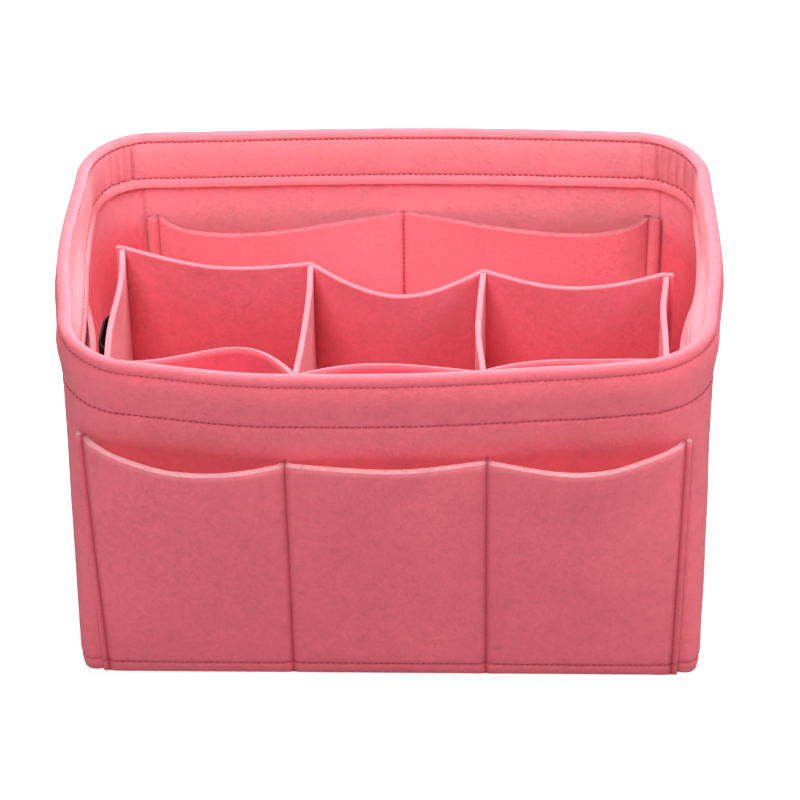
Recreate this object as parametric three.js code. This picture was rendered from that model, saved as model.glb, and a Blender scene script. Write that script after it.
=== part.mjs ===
// Open-topped felt organizer bag: two wall halves with a turned-in hem, a base panel with an upturned
// lip, sewn-on pocket strips outside and inside, a three-bay tray and a black elastic pen loop.
// Millimetres. X runs along the bag, Y from its front to its back and Z up. The origin is the middle
// of the base, on the surface that the bag stands on.
import * as THREE from 'three';
import { mergeVertices } from 'three/addons/utils/BufferGeometryUtils.js';

// Felt and sewing
const feltThickness = 2.4;
const sewnGap = 0.3;

// Wall, at the base and at the rim
const height = 162;
const baseLength = 261;
const baseDepth = 160;
const baseCornerRadius = 5;
const tightestCorner = 2.5;
const rimLength = 268;
const rimFrontReach = 71.5;
const rimBackReach = 83.7;
const rimCornerRadius = 31;
const hemWidth = 26;
const rimRounding = 1.6;
const sideSeamY = 7;

// How far each wall bulges at the rim, where along it the bulge is largest, how fast it grows with
// height, and how flat its top is (1 is a plain swelling, less is flatter)
const frontBulge = 11.5;
const frontBulgeX = -11;
const backBulge = 4.1;
const backBulgeX = 20;
const leftBulge = 2.6;
const rightBulge = 2;
const bulgeGrowth = 2.5;
const bulgeFullness = 0.7;

// Base panel, and the run over which an inner layer steps in over its lip or over the hem
const lipHeight = 8;
const seatStep = 12;

// Outer pocket strips, the same on the front and the back
const outerStripTop = 119;
const outerStripLift = 0.4;
const outerSeamX = 40.5;
const outerEndSeamX = 118.4;
const leftSeamSpread = 3.4;
const rightSeamSpread = 1.2;
const stripOverrun = 2.6;
const outerEndPocketGape = 10.2;
const outerMiddlePocketGape = 4;
const outerGapeGrowth = 1.5;

// Inner back strip, two pockets
const backStripTop = 120;
const backStripLength = 218;
const backStripShiftX = 3.5;
const backPocketGape = 15;
const backPocketSkew = 0.6;
const backGapeGrowth = 1.3;

// Side pockets: they end past the side's straight run (1) and part of the way round the corner (2)
const sideStripTop = 134;
const sidePocketGape = 6.4;
const sidePocketEnd = 1.5;
const sidePocketSkew = 0.8;

// Tray: its top edge, its seams on the front wall and where its rear divider stands
const trayTopDrop = 12;
const trayEndClearance = 22;
const leftMidPanelFrontX = -36.2;
const rightMidPanelFrontX = 38.7;
const leftMidPanelRearX = -33;
const rightMidPanelRearX = 38.5;
const trayLean = 11;
const leanGrowth = 1.3;
const dividerLeftY = 17.5;
const dividerLeftMidY = 7;
const dividerRightMidY = 2.8;
const dividerRightY = 0.7;
const dividerEar = 5;
const leftBayBow = 5.5;
const middleBayBow = 14;
const rightBayBow = 7.5;
const bowAtFloor = 0.3;
const bowToSag = 0.33;
const leftEndPanelBow = 0.4;
const leftMidPanelBow = 1.3;
const rightMidPanelBow = -1.7;
const rightEndPanelBow = -1.2;

// Inner front strip, one pocket in each bay of the tray: how far each gapes, and which way its peak lies
const leftBayPocketGape = 16.7;
const middleBayPocketGape = 7.3;
const rightBayPocketGape = 5.2;
const leftBaySkew = 2;
const middleBaySkew = 0.85;
const rightBaySkew = 0.7;
const innerGapeGrowth = 1.4;

// Black elastic loop on the outside of the left end panel
const elasticThickness = 1;
const elasticWidth = 22;
const loopLength = 36;
const loopReach = 4.3;
const loopTabLength = 6;
const loopMiddleY = -26;
const loopTopDrop = 10;

// How finely the curved felt is divided: counts, millimetres, and shares of a panel's or a side's length
const cornerSteps = 10;
const straightSteps = 20;
const sideSteps = 4;
const levelStep = 21;
const pocketSpacing = 8;
const loopSpacing = 1.6;
const panelSpacing = 0.2;
const sidePocketSpacing = 0.13;
const tangentShare = 0.002;

const rootNode = new THREE.Group();

const feltRoughness = 0.95;
const feltMaterial = (color) => new THREE.MeshStandardMaterial({ color, roughness: feltRoughness });
const pinkFelt = '#f0717f';
const blackElastic = '#141416';
const mix = THREE.MathUtils.lerp;
const trayTop = height - trayTopDrop;
const hemBottom = height - hemWidth;
const floorTop = feltThickness + sewnGap;

// A swelling that is 1 in the middle of -1..1 and 0 at its ends and outside it
function swell(position) {
  return Math.abs(position) < 1 ? (0.5 + 0.5 * Math.cos(Math.PI * position)) ** bulgeFullness : 0;
}

// A pocket's outline along its opening: 0 at both seams, with its peak moved by the skew
function pocketOutline(fraction, skew) {
  return Math.sin(Math.PI * Math.min(1, Math.max(0, fraction)) ** skew);
}

// The wall's plain outline at one height, set in from its outer face
function outlineAt(z, inset) {
  const rise = z / height;
  return {
    halfLength: mix(baseLength / 2, rimLength / 2, rise) - inset,
    front: mix(baseDepth / 2, rimFrontReach, rise) - inset,
    back: mix(baseDepth / 2, rimBackReach, rise) - inset,
    radius: Math.max(tightestCorner, mix(baseCornerRadius, rimCornerRadius, rise) - inset),
    reach: mix(baseLength / 2, rimLength / 2, rise),
    growth: Math.sin(Math.PI / 2 * Math.max(0, rise)) ** bulgeGrowth,
  };
}

// The face of the front (side -1) or back (side 1) wall over a given X, round the corners as well
function faceY(side, x, z, inset) {
  const outline = outlineAt(z, inset);
  const straight = side < 0 ? outline.front : outline.back;
  const past = Math.max(0, Math.abs(x) - (outline.halfLength - outline.radius));
  const drop = outline.radius - Math.sqrt(Math.max(0, outline.radius ** 2 - past ** 2));
  const bulge = side < 0 ? frontBulge : backBulge;
  const bulgeX = side < 0 ? frontBulgeX : backBulgeX;
  return side * (straight - drop + bulge * outline.growth * swell((x - bulgeX) / outline.reach));
}

// The face of the left (side -1) or right (side 1) wall at a given Y between the corners
function faceX(side, y, z, inset) {
  const outline = outlineAt(z, inset);
  const middle = (outline.back - outline.front) / 2;
  const halfRun = (outline.back + outline.front) / 2 - outline.radius;
  const bulge = side < 0 ? leftBulge : rightBulge;
  return side * (outline.halfLength + bulge * outline.growth * swell((y - middle) / halfRun));
}

// A point of the wall from a route station: a place along a side, round a corner or along a face
function wallPoint(station, inset, z) {
  const outline = outlineAt(z, inset);
  const { end } = station;
  const straight = end < 0 ? outline.front : outline.back;
  if (station.part === 'side') {
    const cornerY = end * (straight - outline.radius);
    const y = mix(sideSeamY + end * sewnGap / 2, cornerY, station.along);
    return new THREE.Vector3(faceX(station.side, y, z, inset), y, z);
  }
  if (station.part === 'corner') {
    const angle = station.along * Math.PI / 2;
    const x = station.side * (outline.halfLength - outline.radius * (1 - Math.cos(angle)));
    return new THREE.Vector3(x, faceY(end, x, z, inset), z);
  }
  const x = station.along * (outline.halfLength - outline.radius);
  return new THREE.Vector3(x, faceY(end, x, z, inset), z);
}

// Stations from one side seam round the front (end -1) or the back (end 1) to the other side seam
function halfRoute(end) {
  const stations = [];
  for (let step = 0; step < sideSteps; step += 1) {
    stations.push({ part: 'side', side: -1, end, along: step / sideSteps });
  }
  for (let step = 0; step < cornerSteps; step += 1) {
    stations.push({ part: 'corner', side: -1, end, along: step / cornerSteps });
  }
  for (let step = 0; step <= straightSteps; step += 1) {
    stations.push({ part: 'face', end, along: 2 * step / straightSteps - 1 });
  }
  for (let step = cornerSteps - 1; step >= 0; step -= 1) {
    stations.push({ part: 'corner', side: 1, end, along: step / cornerSteps });
  }
  for (let step = sideSteps - 1; step >= 0; step -= 1) {
    stations.push({ part: 'side', side: 1, end, along: step / sideSteps });
  }
  return stations;
}

// Heights from the bottom to the top, evenly spaced and about one level step apart
function levelsBetween(bottom, top) {
  const count = Math.ceil((top - bottom) / levelStep);
  return Array.from({ length: count + 1 }, (_, index) => mix(bottom, top, index / count));
}

// Heights for a layer inside the wall, which steps in over the base's lip and again over the hem
function seatedLevels(top) {
  const plainTop = Math.min(top, hemBottom - seatStep);
  const steps = [floorTop, lipHeight + sewnGap, ...levelsBetween(lipHeight + sewnGap + seatStep, plainTop)];
  return [...steps, ...[hemBottom - sewnGap, top].filter((level) => level > plainTop && level <= top)];
}

// Turns a closed triangle list into a mesh of the group, with its faces pointing outwards
function addMesh(name, corners, triangles, colour) {
  const volume = triangles.reduce((sum, [a, b, c]) => (
    sum + corners[a].dot(new THREE.Vector3().crossVectors(corners[b], corners[c]))), 0);
  const facing = volume > 0 ? triangles : triangles.map(([a, b, c]) => [a, c, b]);
  const plain = new THREE.BufferGeometry();
  plain.setAttribute('position', new THREE.Float32BufferAttribute(corners.flatMap((p) => p.toArray()), 3));
  plain.setIndex(facing.flat());
  const geometry = mergeVertices(plain, 1e-5);
  geometry.computeVertexNormals();
  const mesh = new THREE.Mesh(geometry, feltMaterial(colour));
  mesh.name = name;
  rootNode.add(mesh);
}

// Sweeps a section along stations and closes both ends. The section has a near and a far side, given
// from the bottom to the top as equally many pairs of offset and height
function addSweep(name, stations, near, far, place, colour = pinkFelt) {
  const section = [...near, ...far.toReversed()];
  const size = section.length;
  const corners = stations.flatMap((station) => (
    section.map(([offset, level]) => place(station, offset, level))));
  const triangles = [];
  for (let start = 0; start < (stations.length - 1) * size; start += size) {
    for (let index = 0; index < size; index += 1) {
      const next = (index + 1) % size;
      triangles.push([start + index, start + next, start + size + next]);
      triangles.push([start + index, start + size + next, start + size + index]);
    }
  }
  const last = (stations.length - 1) * size;
  for (let index = 0; index + 1 < near.length; index += 1) {
    const [a, b, c, d] = [index, index + 1, size - 2 - index, size - 1 - index];
    triangles.push([a, c, b], [a, d, c], [last + a, last + b, last + c], [last + a, last + c, last + d]);
  }
  addMesh(name, corners, triangles, colour);
}

// A sheet of even thickness whose middle surface is route(station, z) at the given levels
function addSheet(name, stations, route, levels, options = {}) {
  const half = (options.thickness ?? feltThickness) / 2;
  const nudge = (stations.at(-1) - stations[0]) * tangentShare;
  const place = (station, offset, level) => {
    const z = level - (options.sag?.(station) ?? 0) * level / levels.at(-1);
    const behind = route(station - nudge, z);
    const ahead = route(station + nudge, z);
    const along = new THREE.Vector2(ahead.x - behind.x, ahead.y - behind.y).normalize();
    const point = route(station, z);
    return new THREE.Vector3(point.x - along.y * offset, point.y + along.x * offset, z);
  };
  const near = levels.map((level) => [-half, level]);
  const far = levels.map((level) => [half, level]);
  addSweep(name, stations, near, far, place, options.colour);
}

// Stations between stops, no further apart than the spacing, so that every seam falls on a station
function stationsThrough(stops, spacing) {
  const stations = [stops[0]];
  for (let index = 1; index < stops.length; index += 1) {
    const count = Math.ceil((stops[index] - stops[index - 1]) / spacing);
    for (let step = 1; step <= count; step += 1) {
      stations.push(mix(stops[index - 1], stops[index], step / count));
    }
  }
  return stations;
}

// How far an inner layer lies from the wall's outer face: it steps in over the base's lip and the hem
function innerSeat(z) {
  const overLip = 1 - (z - lipHeight - sewnGap) / seatStep;
  const overHem = 1 - (hemBottom - sewnGap - z) / (seatStep - sewnGap);
  return (feltThickness + sewnGap) * (1 + THREE.MathUtils.clamp(Math.max(overLip, overHem), 0, 1));
}

// The pocket that an X falls in, as its index and the fraction of the way across it
function pocketAt(x, seams) {
  let index = 0;
  while (index < seams.length - 2 && x > seams[index + 1]) {
    index += 1;
  }
  return { index, fraction: (x - seams[index]) / (seams[index + 1] - seams[index]) };
}

// Wall halves: single felt up to the hem, then two layers folded over at the rim
function addWalls() {
  const hemInset = 2 * feltThickness + sewnGap;
  const levels = levelsBetween(0, hemBottom);
  const near = [...levels, mix(hemBottom, height, 0.5), height - rimRounding].map((z) => [0, z]);
  const far = levels.map((z) => [feltThickness, z]);
  far.push([hemInset, hemBottom], [hemInset, height - rimRounding]);
  near.push([rimRounding, height]);
  far.push([hemInset - rimRounding, height]);
  addSweep('wall_front', halfRoute(-1), near, far, wallPoint);
  addSweep('wall_back', halfRoute(1), near, far, wallPoint);
}

// Base panel: a flat felt floor whose edges turn up inside the wall
function addBasePanel() {
  const outer = feltThickness + sewnGap;
  const inner = outer + feltThickness;
  const frontHalf = halfRoute(-1);
  const backHalf = halfRoute(1).toReversed().filter(({ part, along }) => part !== 'side' || along !== 0);
  const route = [...frontHalf, ...backHalf];
  const rings = [[outer, 0], [outer, lipHeight], [inner, lipHeight], [inner, feltThickness]];
  const corners = rings.flatMap(([inset, z]) => route.map((station) => wallPoint(station, inset, z)));
  const count = route.length;
  const triangles = [];
  for (let ring = 0; ring + 1 < rings.length; ring += 1) {
    for (let index = 0; index < count; index += 1) {
      const next = (index + 1) % count;
      const [low, high] = [ring * count, (ring + 1) * count];
      triangles.push([low + index, low + next, high + next], [low + index, high + next, high + index]);
    }
  }
  const underside = corners.push(new THREE.Vector3(0, 0, 0)) - 1;
  const floor = corners.push(new THREE.Vector3(0, 0, feltThickness)) - 1;
  const lastRing = (rings.length - 1) * count;
  for (let index = 0; index < count; index += 1) {
    const next = (index + 1) % count;
    triangles.push([underside, next, index], [floor, lastRing + index, lastRing + next]);
  }
  addMesh('base_panel', corners, triangles, pinkFelt);
}

// Outer strips: three pockets sewn to the outside of the front and the back wall
function addOuterStrips() {
  const seams = [-outerEndSeamX, -outerSeamX, outerSeamX, outerEndSeamX];
  const gapes = [outerEndPocketGape, outerMiddlePocketGape, outerEndPocketGape];
  const stops = [-outerEndSeamX - stripOverrun, ...seams, outerEndSeamX + stripOverrun];
  const inset = -(sewnGap + feltThickness / 2);
  const addStrip = (name, side) => {
    const route = (station, z) => {
      const { index, fraction } = pocketAt(station, seams);
      const gape = gapes[index] * pocketOutline(fraction, 1) * (z / outerStripTop) ** outerGapeGrowth;
      const spread = (station < 0 ? -leftSeamSpread : rightSeamSpread) * z / outerStripTop;
      const x = station + spread * Math.max(0, Math.abs(station) - outerSeamX) / (outerEndSeamX - outerSeamX);
      return new THREE.Vector2(x, faceY(side, x, z, inset) + side * gape);
    };
    const levels = levelsBetween(outerStripLift, outerStripTop);
    addSheet(name, stationsThrough(stops, pocketSpacing), route, levels);
  };
  addStrip('outer_pocket_strip_front', -1);
  addStrip('outer_pocket_strip_back', 1);
}

// Inner back strip: two wide pockets that spring steeply from their end folds
function addInnerBackStrip() {
  const half = backStripLength / 2;
  const seams = [-half, 0, half];
  const stops = [-half - stripOverrun, ...seams, half + stripOverrun].map((stop) => stop + backStripShiftX);
  const route = (x, z) => {
    const { index, fraction } = pocketAt(x - backStripShiftX, seams);
    const fromEnd = index === 0 ? fraction : 1 - fraction;
    const growth = (z / backStripTop) ** backGapeGrowth;
    const gape = backPocketGape * pocketOutline(fromEnd, backPocketSkew) * growth;
    return new THREE.Vector2(x, faceY(1, x, z, innerSeat(z) + feltThickness / 2) - gape);
  };
  const stations = stationsThrough(stops, pocketSpacing);
  addSheet('inner_pocket_strip_back', stations, route, seatedLevels(backStripTop));
}

// How far the tray's front seams lean away from the front wall above the outer strip's seams
function leanAt(z) {
  return trayLean * (Math.max(0, z - outerStripTop) / (trayTop - outerStripTop)) ** leanGrowth;
}

const bayGapes = [leftBayPocketGape, middleBayPocketGape, rightBayPocketGape];
const baySkews = [leftBaySkew, middleBaySkew, rightBaySkew];
const endPanelX = rimLength / 2 - trayEndClearance;
const traySeams = [-endPanelX, leftMidPanelFrontX, rightMidPanelFrontX, endPanelX];

// The middle surface of the inner front strip
function bayPocketY(x, z) {
  const { index, fraction } = pocketAt(x, traySeams);
  const gape = bayGapes[index] * pocketOutline(fraction, baySkews[index]) * (z / trayTop) ** innerGapeGrowth;
  return faceY(-1, x, z, innerSeat(z) + feltThickness / 2) + leanAt(z) + gape;
}

function addInnerFrontStrip() {
  const stops = [-endPanelX - feltThickness, ...traySeams, endPanelX + feltThickness];
  const stations = stationsThrough(stops, pocketSpacing);
  const route = (x, z) => new THREE.Vector2(x, bayPocketY(x, z));
  addSheet('inner_pocket_strip_front', stations, route, seatedLevels(trayTop));
}

const dividerX = [-endPanelX, leftMidPanelRearX, rightMidPanelRearX, endPanelX];
const dividerY = [dividerLeftY, dividerLeftMidY, dividerRightMidY, dividerRightY];
const bayBows = [leftBayBow, middleBayBow, rightBayBow];

// The middle line of the rear divider: straight between the tray's panels, bowed into each bay
function dividerLineY(x, z) {
  const { index, fraction } = pocketAt(x, dividerX);
  const bow = bayBows[index] * pocketOutline(fraction, 1) * mix(bowAtFloor, 1, z / trayTop);
  return mix(dividerY[index], dividerY[index + 1], fraction) - bow;
}

function addRearDivider() {
  const stops = [dividerX[0] - dividerEar, ...dividerX, dividerX.at(-1) + dividerEar];
  const sag = (x) => {
    const { index, fraction } = pocketAt(x, dividerX);
    return bayBows[index] * bowToSag * pocketOutline(fraction, 1);
  };
  const route = (x, z) => new THREE.Vector2(x, dividerLineY(x, z));
  const stations = stationsThrough(stops, pocketSpacing);
  addSheet('tray_rear_divider', stations, route, levelsBetween(floorTop, trayTop), { sag });
}

// The Y at which a cross panel stops short of a sheet, where the sheet's middle line is line(x, z)
function stopY(line, x, z, side) {
  const half = feltThickness / 2;
  const reaches = [-half, half].map((edge) => {
    const slope = (line(x + edge, z) - line(x, z)) / half;
    return side * Math.max(line(x + edge, z) * side, line(x, z) * side) + side * half * Math.hypot(1, slope);
  });
  return side * Math.max(side * reaches[0], side * reaches[1]) + side * sewnGap;
}

const panelBows = [leftEndPanelBow, leftMidPanelBow, rightMidPanelBow, rightEndPanelBow];

// A point along one of the tray's cross panels, from the front strip (0) to the rear divider (1)
function crossPanelPoint(index, along, z) {
  const frontEnd = stopY(bayPocketY, traySeams[index], z, 1);
  const rearEnd = stopY(dividerLineY, dividerX[index], z, -1);
  const bow = panelBows[index] * pocketOutline(along, 1);
  const x = mix(traySeams[index], dividerX[index], along) + bow;
  return new THREE.Vector2(x, mix(frontEnd, rearEnd, along));
}

function addCrossPanels() {
  const names = [
    'tray_end_panel_left', 'tray_cross_panel_left', 'tray_cross_panel_right', 'tray_end_panel_right',
  ];
  names.forEach((name, index) => {
    const route = (along, z) => crossPanelPoint(index, along, z);
    addSheet(name, stationsThrough([0, 1], panelSpacing), route, seatedLevels(trayTop));
  });
}

// Side pockets: from each side seam forward, half way round the front corner
function addSidePockets() {
  const route = (side) => (along, z) => {
    const station = along < 1
      ? { part: 'side', side, end: -1, along }
      : { part: 'corner', side, end: -1, along: along - 1 };
    const growth = (z / sideStripTop) ** innerGapeGrowth;
    const gape = sidePocketGape * pocketOutline(along / sidePocketEnd, sidePocketSkew) * growth;
    const point = wallPoint(station, innerSeat(z) + feltThickness / 2 + gape, z);
    return new THREE.Vector2(point.x, point.y);
  };
  const stations = stationsThrough([0, 1, sidePocketEnd], sidePocketSpacing);
  addSheet('side_pocket_left', stations, route(-1), seatedLevels(sideStripTop));
  addSheet('side_pocket_right', stations, route(1), seatedLevels(sideStripTop));
}

// Elastic loop: flat sewn tabs at both ends and a bow between them, standing off the left end panel
function addPenLoop() {
  const panelFaceX = (y, z) => {
    const front = crossPanelPoint(0, 0, z).y;
    const rear = crossPanelPoint(0, 1, z).y;
    return crossPanelPoint(0, (y - front) / (rear - front), z).x - feltThickness / 2;
  };
  const half = loopLength / 2;
  const route = (y, z) => {
    const fromTab = THREE.MathUtils.clamp((half - Math.abs(y)) / loopTabLength - 1, 0, 1);
    const bow = loopReach * Math.sin(Math.PI / 2 * fromTab);
    const x = panelFaceX(y + loopMiddleY, z) - sewnGap - elasticThickness / 2 - bow;
    return new THREE.Vector2(x, y + loopMiddleY);
  };
  const bends = [half - 2 * loopTabLength, half - loopTabLength, half];
  const stops = [...bends.map((bend) => -bend).toReversed(), ...bends];
  const top = trayTop - loopTopDrop;
  const levels = levelsBetween(top - elasticWidth, top);
  const options = { thickness: elasticThickness, colour: blackElastic };
  addSheet('elastic_pen_loop', stationsThrough(stops, loopSpacing), route, levels, options);
}

addBasePanel();
addWalls();
addOuterStrips();
addInnerBackStrip();
addInnerFrontStrip();
addRearDivider();
addCrossPanels();
addSidePockets();
addPenLoop();

export default rootNode;
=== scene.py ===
"""Felt organizer bag: sewn felt sheets with a turned-in hem, pockets, a bay tray and an elastic loop.

Every felt piece starts as a flat grid whose rows and columns are laid along the sheet, is thickened to
the felt's 2.4 mm, and gets softly rounded edges. Lengths are millimetres, apart from those of the lamps,
the floor and the camera, which are metres.
"""

from math import cos, exp, pi, radians, sin, sqrt, tan

import bmesh
import bpy
from mathutils import Matrix, Vector, noise


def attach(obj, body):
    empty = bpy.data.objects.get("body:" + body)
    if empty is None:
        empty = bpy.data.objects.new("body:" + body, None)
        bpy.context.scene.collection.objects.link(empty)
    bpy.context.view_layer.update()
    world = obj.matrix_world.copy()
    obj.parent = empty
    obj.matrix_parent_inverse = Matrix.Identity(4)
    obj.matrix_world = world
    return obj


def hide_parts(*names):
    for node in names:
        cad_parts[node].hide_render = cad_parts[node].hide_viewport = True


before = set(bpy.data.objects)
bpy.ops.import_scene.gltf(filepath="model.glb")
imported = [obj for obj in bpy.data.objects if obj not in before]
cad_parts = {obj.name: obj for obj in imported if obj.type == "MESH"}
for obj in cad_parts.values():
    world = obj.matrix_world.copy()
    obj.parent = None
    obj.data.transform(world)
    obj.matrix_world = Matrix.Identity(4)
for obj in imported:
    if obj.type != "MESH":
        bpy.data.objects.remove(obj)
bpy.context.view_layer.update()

MM = 0.001
FELT = 2.4
GAP = 0.3
HEIGHT = 162
HEM_BOTTOM = 136
STRIP_TOP = 119
TRAY_TOP = 150
FLOOR_TOP = FELT + GAP
LIP = 8

# The walls' outer face at the base and at the rim
BASE_HALF_LENGTH = 130.5
RIM_HALF_LENGTH = 134
BASE_HALF_DEPTH = 80
RIM_FRONT_REACH = 71.5
RIM_BACK_REACH = 83.7
BASE_RADIUS = 5
RIM_RADIUS = 31
LEAST_RADIUS = 2.5

# How the walls bow outwards: depth and middle on the front and back, depth on the ends
FRONT_BULGE = (11.5, -11)
BACK_BULGE = (4.1, 20)
LEFT_BULGE = 2.6
RIGHT_BULGE = 2.0
BULGE_GROWTH = 2.5
BULGE_FULLNESS = 0.7
# Two fuller places of the front rim: middle, depth and width
FRONT_FULLNESS = [(-58, 1.8, 30), (84, 1.1, 18)]
# The front corners are drawn in towards the rim, from nothing to all over these y and x
CORNER_DRAW = 1.8
CORNER_DRAW_GROWTH = 1.5
CORNER_DRAW_Y = (-5, -50)
CORNER_DRAW_X = (92, 122)

# The front and back halves of the wall meet here, at the middle of each end
SIDE_SEAM_Y = 7
SIDE_SEAM_GAP = 0.08

# Over these heights a layer inside the wall comes back to it, above the lip and below the hem
SEAT_ABOVE_LIP = 12
SEAT_BELOW_HEM = 11.7

# Rows and columns of a grid: where the closer ones lie beside a stitch line, as shares of their reach, how far
# they keep from the ends, and the step of columns that are shares of a panel
NEAR_LINE = (-1, -0.6, -0.3, 0, 0.3, 0.6, 1)
LEAST_MARGIN = 0.2
SHARE_STEP = 0.05
ROUND_UP = 0.999

# Slow waves and small gathers of the sheets: depth, seed and rough length
WAVES = {
    "hem_gather": (0.22, 3.1, 4.5),
    "wall": (0.5, 5.2, 34),
    "hem_edge": (0.3, 8.4, 16),
    "outer_strip": (0.9, 1.7, 38),
    "outer_seam": (0.3, 6.3, 6),
    "back_strip": (0.8, 12.5, 34),
    "front_strip": (0.5, 21.5, 30),
    "divider": (0.8, 31.5, 36),
    "panel": (0.8, 41.5, 34),
}


# Shape of the bag

def mix(a, b, t):
    return a + (b - a) * t


def clamp(value, low=0.0, high=1.0):
    return max(low, min(high, value))


def ramp(value, start, end):
    """A smooth step from 0 at the start to 1 at the end, which may be the lower of the two."""
    share = clamp((value - start) / (end - start))
    return share * share * (3 - 2 * share)


def dent(position, centre, width):
    """A bell of height 1 at the centre."""
    return exp(-((position - centre) / width) ** 2)


def dents(position, centres, width):
    return sum(dent(position, centre, width) for centre in centres)


def swell(position):
    """A broad bow: 1 in the middle and 0 from -1 and 1 outwards."""
    return (0.5 + 0.5 * cos(pi * position)) ** BULGE_FULLNESS if abs(position) < 1 else 0.0


def mouth(fraction, skew=1):
    """A bow between two seams, whose peak the skew moves along."""
    return sin(pi * clamp(fraction) ** skew)


def wave(kind, x, y, z, turn=0):
    """One of the waves at a point, and for each turn another of its kind."""
    depth, seed, length = WAVES[kind]
    seed += turn
    return depth * noise.noise(Vector((x / length + seed, y / length - seed, z / length + 2 * seed)))


def outline(z, inset):
    """Half lengths and depths of the walls' outer face at a height, set in by the inset."""
    rise = z / HEIGHT
    reach = mix(BASE_HALF_LENGTH, RIM_HALF_LENGTH, rise)
    return {
        "half": reach - inset,
        "front": mix(BASE_HALF_DEPTH, RIM_FRONT_REACH, rise) - inset,
        "back": mix(BASE_HALF_DEPTH, RIM_BACK_REACH, rise) - inset,
        "radius": max(LEAST_RADIUS, mix(BASE_RADIUS, RIM_RADIUS, rise) - inset),
        "reach": reach,
        "growth": sin(pi / 2 * clamp(rise)) ** BULGE_GROWTH,
    }


def face_y(side, x, z, inset):
    """The y of the front wall (side -1) or the back wall (side 1)."""
    shape = outline(z, inset)
    straight = shape["front"] if side < 0 else shape["back"]
    bulge, centre = FRONT_BULGE if side < 0 else BACK_BULGE
    past = max(0.0, abs(x) - (shape["half"] - shape["radius"]))
    drop = shape["radius"] - sqrt(max(0.0, shape["radius"] ** 2 - past ** 2))
    bow = bulge * swell((x - centre) / shape["reach"])
    if side < 0:
        bow += sum(depth * dent(x, middle, width) for middle, depth, width in FRONT_FULLNESS)
    return side * (straight - drop + shape["growth"] * bow)


def face_x(side, y, z, inset):
    """The x of the left end (side -1) or the right end (side 1)."""
    shape = outline(z, inset)
    middle = (shape["back"] - shape["front"]) / 2
    half_run = (shape["back"] + shape["front"]) / 2 - shape["radius"]
    bulge = LEFT_BULGE if side < 0 else RIGHT_BULGE
    return side * (shape["half"] + bulge * shape["growth"] * swell((y - middle) / half_run))


def drawn_in(point):
    """The front corners stand in a little more the higher they are."""
    rise = sin(pi / 2 * clamp(point.z / HEIGHT)) ** CORNER_DRAW_GROWTH
    shift = CORNER_DRAW * rise * ramp(point.y, *CORNER_DRAW_Y) * ramp(abs(point.x), *CORNER_DRAW_X)
    return Vector((point.x - shift if point.x > 0 else point.x + shift, point.y, point.z))


def wall_point(station, inset, z):
    """A point of the wall at a station (part, side, end, along), set in from the outer face."""
    part, side, end, along = station
    shape = outline(z, inset)
    straight = shape["front"] if end < 0 else shape["back"]
    if part == "side":
        y = mix(SIDE_SEAM_Y + end * SIDE_SEAM_GAP / 2, end * (straight - shape["radius"]), along)
        return drawn_in(Vector((face_x(side, y, z, inset), y, z)))
    if part == "corner":
        x = side * (shape["half"] - shape["radius"] * (1 - cos(along * pi / 2)))
    else:
        x = along * (shape["half"] - shape["radius"])
    return drawn_in(Vector((x, face_y(end, x, z, inset), z)))


def half_route(end, side_count=18, corner_count=40, face_count=120):
    """Stations from the left side seam, along the front (end -1) or the back (end 1), to the right one."""
    route = [("side", -1, end, i / side_count) for i in range(side_count)]
    route += [("corner", -1, end, i / corner_count) for i in range(corner_count)]
    route += [("face", 0, end, 2 * i / face_count - 1) for i in range(face_count + 1)]
    route += [("corner", 1, end, i / corner_count) for i in range(corner_count - 1, -1, -1)]
    route += [("side", 1, end, i / side_count) for i in range(side_count - 1, -1, -1)]
    return route


def inner_seat(z):
    """How far a layer inside the wall lies from the wall's outer face, also over the lip and the hem."""
    over_lip = 1 - (z - LIP - GAP) / SEAT_ABOVE_LIP
    over_hem = 1 - (HEM_BOTTOM - GAP - z) / SEAT_BELOW_HEM
    return (FELT + GAP) * (1 + clamp(max(over_lip, over_hem)))


def pocket_at(x, seams):
    """The number of the pocket at x and how far across it x lies."""
    index = 0
    while index < len(seams) - 2 and x > seams[index + 1]:
        index += 1
    return index, (x - seams[index]) / (seams[index + 1] - seams[index])


def spread(stops, spacing):
    """Positions between stops, no further apart than the spacing."""
    out = [stops[0]]
    for low, high in zip(stops, stops[1:]):
        count = max(1, int((high - low) / spacing + ROUND_UP))
        out += [mix(low, high, (i + 1) / count) for i in range(count)]
    return out


def around(lines, low, high, reach, spacing):
    """Positions from low to high, with closer ones within reach of each stitch line."""
    stops = {low, high}
    for line in lines:
        near = [line + reach * share for share in NEAR_LINE]
        stops |= {stop for stop in near if low + LEAST_MARGIN < stop < high - LEAST_MARGIN}
    return spread(sorted(stops), spacing)


def distances(points):
    """How far along the points each of them lies."""
    out = [0.0]
    for before, after in zip(points, points[1:]):
        out.append(out[-1] + (after - before).length)
    return out


# Materials

OUTSIDE = (0.82, 0.147, 0.192)
# Painted light: the outside felt made lighter for the inner pieces
INNER_PAINTED_LIGHT = (0.94, 0.17, 0.222)
# Painted light: the paler pink mixed in where the bag's inside is brighter
PAINTED_LIGHT = (0.95, 0.36, 0.42)
# Painted red glow and shade: a deeper red in the front pockets' mouths and low on the divider
PAINTED_GLOW_AND_SHADE = (0.96, 0.105, 0.14)
# Pressed felt at the seams, darker partly in its own colour and partly by painted shade in grooves, creases and
# folds
PRESSED_AND_SHADE = (0.45, 0.02, 0.045)
# Painted light: a lighter copy of the felt for the cut edges of the inner pieces and the walls
RAW_RIM_PAINTED_LIGHT = (0.93, 0.19, 0.24)
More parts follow.
